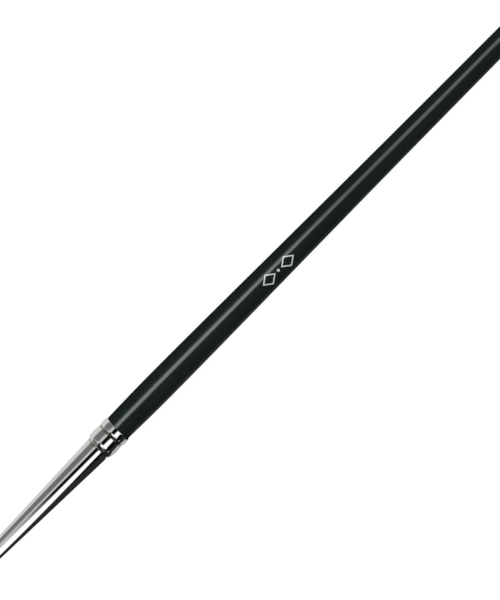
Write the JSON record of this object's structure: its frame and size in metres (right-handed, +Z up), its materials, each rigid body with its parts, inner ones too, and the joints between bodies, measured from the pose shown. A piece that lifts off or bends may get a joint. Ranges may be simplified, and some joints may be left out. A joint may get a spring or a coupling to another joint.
{
  "type": "fine detail brush",
  "caption": "Round detail brush with a slim lacquered wooden handle, a tapered plated ferrule with crimped beads and a pointed tuft, for painting small models.",
  "frame": {"origin": "on the surface that the brush lies on, below the middle of its length", "axes": "+X along the brush from the butt to the tip of the hair, +Z up, the brush's own axis level"},
  "size_m": [0.195, 0.0064, 0.0064],
  "materials": {
    "handle_lacquer": "black gloss lacquer over turned hardwood",
    "ferrule_plating": "bright nickel plate, polished",
    "hair": "fine straight hair, satin",
    "binding_thread": "waxed cotton",
    "root_epoxy": "set amber epoxy",
    "tenon_adhesive": "set wood adhesive"
  },
  "bodies": {
    "root": {"handle": "handle_lacquer", "ferrule": "ferrule_plating", "hair_tuft": "hair", "root_binding": "binding_thread", "epoxy_plug": "root_epoxy", "tenon_glue": "tenon_adhesive"}
  },
  "joints": []
}
